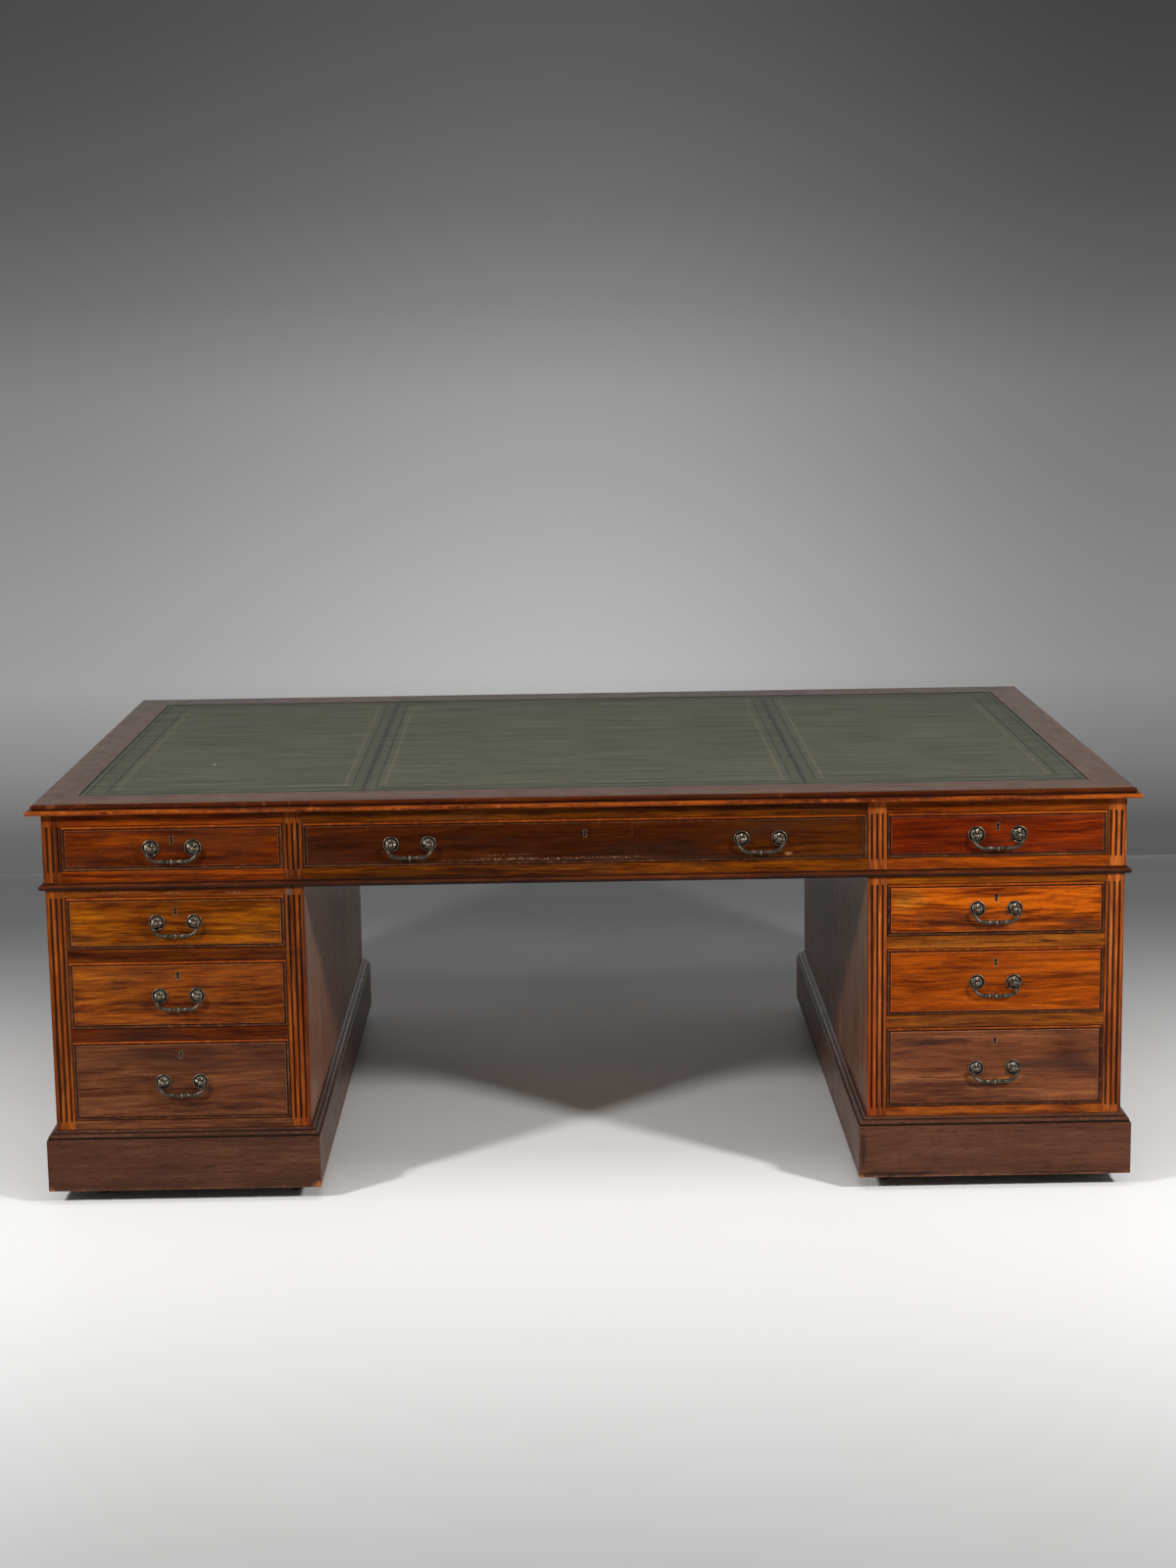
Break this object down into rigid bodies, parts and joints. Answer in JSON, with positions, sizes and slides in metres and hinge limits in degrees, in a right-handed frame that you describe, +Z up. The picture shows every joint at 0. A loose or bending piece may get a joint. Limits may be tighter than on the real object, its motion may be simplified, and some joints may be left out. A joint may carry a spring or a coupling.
{
  "type": "partners desk",
  "caption": "Large mahogany partners desk: leather-lined top and frieze drawers on two drawer pedestals with plinths, fluted stiles and swan-neck handles, open kneehole.",
  "frame": {"origin": "on the floor under the middle of the desk, at the centre of the bounding box's base", "axes": "+Z up, +X along the long side to the sitter's right seen from the front, -Y towards the drawer front; the cupboards face +Y"},
  "size_m": [2.124, 1.436, 0.79],
  "materials": {
    "mahogany": "polished, worn at edges",
    "drawer_mahogany": "polished, straight horizontal grain",
    "secondary_wood": "unpolished, planed",
    "leather": "dyed dark green hide with tooled border lines",
    "antique_brass": "dark toned, rubbed on the high spots",
    "castor_iron": "dark, dull"
  },
  "bodies": {
    "carcass": {"top_border": "mahogany", "top_boards": "secondary_wood", "leather_skins": "leather", "frieze_pillars": "mahogany", "frieze_rails": "mahogany", "frieze_end_panels": "mahogany", "frieze_partitions": "secondary_wood", "frieze_bead": "mahogany", "pedestal_side_panels": "mahogany", "pedestal_stiles": "mahogany", "pedestal_rails": "mahogany", "left_pedestal_boards": "secondary_wood", "right_pedestal_boards": "secondary_wood", "plinths": "mahogany", "castor_plates": "castor_iron", "door_hinges": "antique_brass"},
    "front_left_frieze_drawer": {"front_left_frieze_drawer": "drawer_mahogany"},
    "front_left_frieze_drawer_bail": {"front_left_frieze_drawer_bail": "antique_brass"},
    "front_right_frieze_drawer": {"front_right_frieze_drawer": "drawer_mahogany"},
    "front_right_frieze_drawer_bail": {"front_right_frieze_drawer_bail": "antique_brass"},
    "front_centre_frieze_drawer": {"front_centre_frieze_drawer": "drawer_mahogany"},
    "front_centre_frieze_drawer_left_bail": {"front_centre_frieze_drawer_left_bail": "antique_brass"},
    "front_centre_frieze_drawer_right_bail": {"front_centre_frieze_drawer_right_bail": "antique_brass"},
    "back_left_frieze_drawer": {"back_left_frieze_drawer": "drawer_mahogany"},
    "back_left_frieze_drawer_bail": {"back_left_frieze_drawer_bail": "antique_brass"},
    "back_right_frieze_drawer": {"back_right_frieze_drawer": "drawer_mahogany"},
    "back_right_frieze_drawer_bail": {"back_right_frieze_drawer_bail": "antique_brass"},
    "back_centre_frieze_drawer": {"back_centre_frieze_drawer": "drawer_mahogany"},
    "back_centre_frieze_drawer_left_bail": {"back_centre_frieze_drawer_left_bail": "antique_brass"},
    "back_centre_frieze_drawer_right_bail": {"back_centre_frieze_drawer_right_bail": "antique_brass"},
    "left_pedestal_drawer_1": {"left_pedestal_drawer_1": "drawer_mahogany"},
    "left_pedestal_drawer_1_bail": {"left_pedestal_drawer_1_bail": "antique_brass"},
    "left_pedestal_drawer_2": {"left_pedestal_drawer_2": "drawer_mahogany"},
    "left_pedestal_drawer_2_bail": {"left_pedestal_drawer_2_bail": "antique_brass"},
    "left_pedestal_drawer_3": {"left_pedestal_drawer_3": "drawer_mahogany"},
    "left_pedestal_drawer_3_bail": {"left_pedestal_drawer_3_bail": "antique_brass"},
    "right_pedestal_drawer_1": {"right_pedestal_drawer_1": "drawer_mahogany"},
    "right_pedestal_drawer_1_bail": {"right_pedestal_drawer_1_bail": "antique_brass"},
    "right_pedestal_drawer_2": {"right_pedestal_drawer_2": "drawer_mahogany"},
    "right_pedestal_drawer_2_bail": {"right_pedestal_drawer_2_bail": "antique_brass"},
    "right_pedestal_drawer_3": {"right_pedestal_drawer_3": "drawer_mahogany"},
    "right_pedestal_drawer_3_bail": {"right_pedestal_drawer_3_bail": "antique_brass"},
    "left_cupboard_door": {"left_cupboard_door": "mahogany"},
    "right_cupboard_door": {"right_cupboard_door": "mahogany"},
    "left_front_outer_castor_fork": {"left_front_outer_castor_fork": "castor_iron"},
    "left_front_outer_castor_wheel": {"left_front_outer_castor_wheel": "castor_iron"},
    "left_front_inner_castor_fork": {"left_front_inner_castor_fork": "castor_iron"},
    "left_front_inner_castor_wheel": {"left_front_inner_castor_wheel": "castor_iron"},
    "left_back_outer_castor_fork": {"left_back_outer_castor_fork": "castor_iron"},
    "left_back_outer_castor_wheel": {"left_back_outer_castor_wheel": "castor_iron"},
    "left_back_inner_castor_fork": {"left_back_inner_castor_fork": "castor_iron"},
    "left_back_inner_castor_wheel": {"left_back_inner_castor_wheel": "castor_iron"},
    "right_front_outer_castor_fork": {"right_front_outer_castor_fork": "castor_iron"},
    "right_front_outer_castor_wheel": {"right_front_outer_castor_wheel": "castor_iron"},
    "right_front_inner_castor_fork": {"right_front_inner_castor_fork": "castor_iron"},
    "right_front_inner_castor_wheel": {"right_front_inner_castor_wheel": "castor_iron"},
    "right_back_outer_castor_fork": {"right_back_outer_castor_fork": "castor_iron"},
    "right_back_outer_castor_wheel": {"right_back_outer_castor_wheel": "castor_iron"},
    "right_back_inner_castor_fork": {"right_back_inner_castor_fork": "castor_iron"},
    "right_back_inner_castor_wheel": {"right_back_inner_castor_wheel": "castor_iron"}
  },
  "joints": [
    {"name": "front_left_frieze_drawer_slide", "type": "slide", "parent": "carcass", "child": "front_left_frieze_drawer", "axis": [0, -1, 0], "range_m": [0, 0.45]},
    {"name": "front_left_frieze_drawer_bail_hinge", "type": "hinge", "parent": "front_left_frieze_drawer", "child": "front_left_frieze_drawer_bail", "pos_m": [-0.789, -0.7045, 0.701], "axis": [-1, 0, 0], "range_deg": [0, 95]},
    {"name": "front_right_frieze_drawer_slide", "type": "slide", "parent": "carcass", "child": "front_right_frieze_drawer", "axis": [0, -1, 0], "range_m": [0, 0.45]},
    {"name": "front_right_frieze_drawer_bail_hinge", "type": "hinge", "parent": "front_right_frieze_drawer", "child": "front_right_frieze_drawer_bail", "pos_m": [0.789, -0.7045, 0.701], "axis": [-1, 0, 0], "range_deg": [0, 95]},
    {"name": "front_centre_frieze_drawer_slide", "type": "slide", "parent": "carcass", "child": "front_centre_frieze_drawer", "axis": [0, -1, 0], "range_m": [0, 0.45]},
    {"name": "front_centre_frieze_drawer_left_bail_hinge", "type": "hinge", "parent": "front_centre_frieze_drawer", "child": "front_centre_frieze_drawer_left_bail", "pos_m": [-0.335, -0.7045, 0.701], "axis": [-1, 0, 0], "range_deg": [0, 95]},
    {"name": "front_centre_frieze_drawer_right_bail_hinge", "type": "hinge", "parent": "front_centre_frieze_drawer", "child": "front_centre_frieze_drawer_right_bail", "pos_m": [0.335, -0.7045, 0.701], "axis": [-1, 0, 0], "range_deg": [0, 95]},
    {"name": "back_left_frieze_drawer_slide", "type": "slide", "parent": "carcass", "child": "back_left_frieze_drawer", "axis": [0, 1, 0], "range_m": [0, 0.45]},
    {"name": "back_left_frieze_drawer_bail_hinge", "type": "hinge", "parent": "back_left_frieze_drawer", "child": "back_left_frieze_drawer_bail", "pos_m": [0.789, 0.7045, 0.701], "axis": [1, 0, 0], "range_deg": [0, 95]},
    {"name": "back_right_frieze_drawer_slide", "type": "slide", "parent": "carcass", "child": "back_right_frieze_drawer", "axis": [0, 1, 0], "range_m": [0, 0.45]},
    {"name": "back_right_frieze_drawer_bail_hinge", "type": "hinge", "parent": "back_right_frieze_drawer", "child": "back_right_frieze_drawer_bail", "pos_m": [-0.789, 0.7045, 0.701], "axis": [1, 0, 0], "range_deg": [0, 95]},
    {"name": "back_centre_frieze_drawer_slide", "type": "slide", "parent": "carcass", "child": "back_centre_frieze_drawer", "axis": [0, 1, 0], "range_m": [0, 0.45]},
    {"name": "back_centre_frieze_drawer_left_bail_hinge", "type": "hinge", "parent": "back_centre_frieze_drawer", "child": "back_centre_frieze_drawer_left_bail", "pos_m": [0.335, 0.7045, 0.701], "axis": [1, 0, 0], "range_deg": [0, 95]},
    {"name": "back_centre_frieze_drawer_right_bail_hinge", "type": "hinge", "parent": "back_centre_frieze_drawer", "child": "back_centre_frieze_drawer_right_bail", "pos_m": [-0.335, 0.7045, 0.701], "axis": [1, 0, 0], "range_deg": [0, 95]},
    {"name": "left_pedestal_drawer_1_slide", "type": "slide", "parent": "carcass", "child": "left_pedestal_drawer_1", "axis": [0, -1, 0], "range_m": [0, 0.45]},
    {"name": "left_pedestal_drawer_1_bail_hinge", "type": "hinge", "parent": "left_pedestal_drawer_1", "child": "left_pedestal_drawer_1_bail", "pos_m": [-0.7875, -0.7045, 0.556], "axis": [-1, 0, 0], "range_deg": [0, 95]},
    {"name": "left_pedestal_drawer_2_slide", "type": "slide", "parent": "carcass", "child": "left_pedestal_drawer_2", "axis": [0, -1, 0], "range_m": [0, 0.45]},
    {"name": "left_pedestal_drawer_2_bail_hinge", "type": "hinge", "parent": "left_pedestal_drawer_2", "child": "left_pedestal_drawer_2_bail", "pos_m": [-0.7875, -0.7045, 0.411], "axis": [-1, 0, 0], "range_deg": [0, 95]},
    {"name": "left_pedestal_drawer_3_slide", "type": "slide", "parent": "carcass", "child": "left_pedestal_drawer_3", "axis": [0, -1, 0], "range_m": [0, 0.45]},
    {"name": "left_pedestal_drawer_3_bail_hinge", "type": "hinge", "parent": "left_pedestal_drawer_3", "child": "left_pedestal_drawer_3_bail", "pos_m": [-0.7875, -0.7045, 0.24], "axis": [-1, 0, 0], "range_deg": [0, 95]},
    {"name": "right_pedestal_drawer_1_slide", "type": "slide", "parent": "carcass", "child": "right_pedestal_drawer_1", "axis": [0, -1, 0], "range_m": [0, 0.45]},
    {"name": "right_pedestal_drawer_1_bail_hinge", "type": "hinge", "parent": "right_pedestal_drawer_1", "child": "right_pedestal_drawer_1_bail", "pos_m": [0.7875, -0.7045, 0.556], "axis": [-1, 0, 0], "range_deg": [0, 95]},
    {"name": "right_pedestal_drawer_2_slide", "type": "slide", "parent": "carcass", "child": "right_pedestal_drawer_2", "axis": [0, -1, 0], "range_m": [0, 0.45]},
    {"name": "right_pedestal_drawer_2_bail_hinge", "type": "hinge", "parent": "right_pedestal_drawer_2", "child": "right_pedestal_drawer_2_bail", "pos_m": [0.7875, -0.7045, 0.411], "axis": [-1, 0, 0], "range_deg": [0, 95]},
    {"name": "right_pedestal_drawer_3_slide", "type": "slide", "parent": "carcass", "child": "right_pedestal_drawer_3", "axis": [0, -1, 0], "range_m": [0, 0.45]},
    {"name": "right_pedestal_drawer_3_bail_hinge", "type": "hinge", "parent": "right_pedestal_drawer_3", "child": "right_pedestal_drawer_3_bail", "pos_m": [0.7875, -0.7045, 0.24], "axis": [-1, 0, 0], "range_deg": [0, 95]},
    {"name": "left_cupboard_door_hinge", "type": "hinge", "parent": "carcass", "child": "left_cupboard_door", "pos_m": [-0.997, 0.6954, 0.3845], "axis": [0, 0, 1], "range_deg": [0, 105]},
    {"name": "right_cupboard_door_hinge", "type": "hinge", "parent": "carcass", "child": "right_cupboard_door", "pos_m": [0.997, 0.6954, 0.3845], "axis": [0, 0, -1], "range_deg": [0, 105]},
    {"name": "left_front_outer_castor_swivel", "type": "hinge", "parent": "carcass", "child": "left_front_outer_castor_fork", "pos_m": [-0.976, -0.634, 0.05], "axis": [0, 0, 1], "continuous": true},
    {"name": "left_front_outer_castor_roll", "type": "hinge", "parent": "left_front_outer_castor_fork", "child": "left_front_outer_castor_wheel", "pos_m": [-0.958, -0.634, 0.019], "axis": [0, 1, 0], "continuous": true},
    {"name": "left_front_inner_castor_swivel", "type": "hinge", "parent": "carcass", "child": "left_front_inner_castor_fork", "pos_m": [-0.599, -0.634, 0.05], "axis": [0, 0, 1], "continuous": true},
    {"name": "left_front_inner_castor_roll", "type": "hinge", "parent": "left_front_inner_castor_fork", "child": "left_front_inner_castor_wheel", "pos_m": [-0.581, -0.634, 0.019], "axis": [0, 1, 0], "continuous": true},
    {"name": "left_back_outer_castor_swivel", "type": "hinge", "parent": "carcass", "child": "left_back_outer_castor_fork", "pos_m": [-0.976, 0.634, 0.05], "axis": [0, 0, 1], "continuous": true},
    {"name": "left_back_outer_castor_roll", "type": "hinge", "parent": "left_back_outer_castor_fork", "child": "left_back_outer_castor_wheel", "pos_m": [-0.967, 0.64959, 0.019], "axis": [-0.866, 0.5, 0], "continuous": true},
    {"name": "left_back_inner_castor_swivel", "type": "hinge", "parent": "carcass", "child": "left_back_inner_castor_fork", "pos_m": [-0.599, 0.634, 0.05], "axis": [0, 0, 1], "continuous": true},
    {"name": "left_back_inner_castor_roll", "type": "hinge", "parent": "left_back_inner_castor_fork", "child": "left_back_inner_castor_wheel", "pos_m": [-0.608, 0.64959, 0.019], "axis": [-0.866, -0.5, 0], "continuous": true},
    {"name": "right_front_outer_castor_swivel", "type": "hinge", "parent": "carcass", "child": "right_front_outer_castor_fork", "pos_m": [0.976, -0.634, 0.05], "axis": [0, 0, 1], "continuous": true},
    {"name": "right_front_outer_castor_roll", "type": "hinge", "parent": "right_front_outer_castor_fork", "child": "right_front_outer_castor_wheel", "pos_m": [0.97287, -0.61627, 0.019], "axis": [-0.9848, -0.1736, 0], "continuous": true},
    {"name": "right_front_inner_castor_swivel", "type": "hinge", "parent": "carcass", "child": "right_front_inner_castor_fork", "pos_m": [0.599, -0.634, 0.05], "axis": [0, 0, 1], "continuous": true},
    {"name": "right_front_inner_castor_roll", "type": "hinge", "parent": "right_front_inner_castor_fork", "child": "right_front_inner_castor_wheel", "pos_m": [0.581, -0.634, 0.019], "axis": [0, -1, 0], "continuous": true},
    {"name": "right_back_outer_castor_swivel", "type": "hinge", "parent": "carcass", "child": "right_back_outer_castor_fork", "pos_m": [0.976, 0.634, 0.05], "axis": [0, 0, 1], "continuous": true},
    {"name": "right_back_outer_castor_roll", "type": "hinge", "parent": "right_back_outer_castor_fork", "child": "right_back_outer_castor_wheel", "pos_m": [0.98979, 0.64557, 0.019], "axis": [-0.6428, 0.766, 0], "continuous": true},
    {"name": "right_back_inner_castor_swivel", "type": "hinge", "parent": "carcass", "child": "right_back_inner_castor_fork", "pos_m": [0.599, 0.634, 0.05], "axis": [0, 0, 1], "continuous": true},
    {"name": "right_back_inner_castor_roll", "type": "hinge", "parent": "right_back_inner_castor_fork", "child": "right_back_inner_castor_wheel", "pos_m": [0.58341, 0.643, 0.019], "axis": [-0.5, -0.866, 0], "continuous": true}
  ]
}
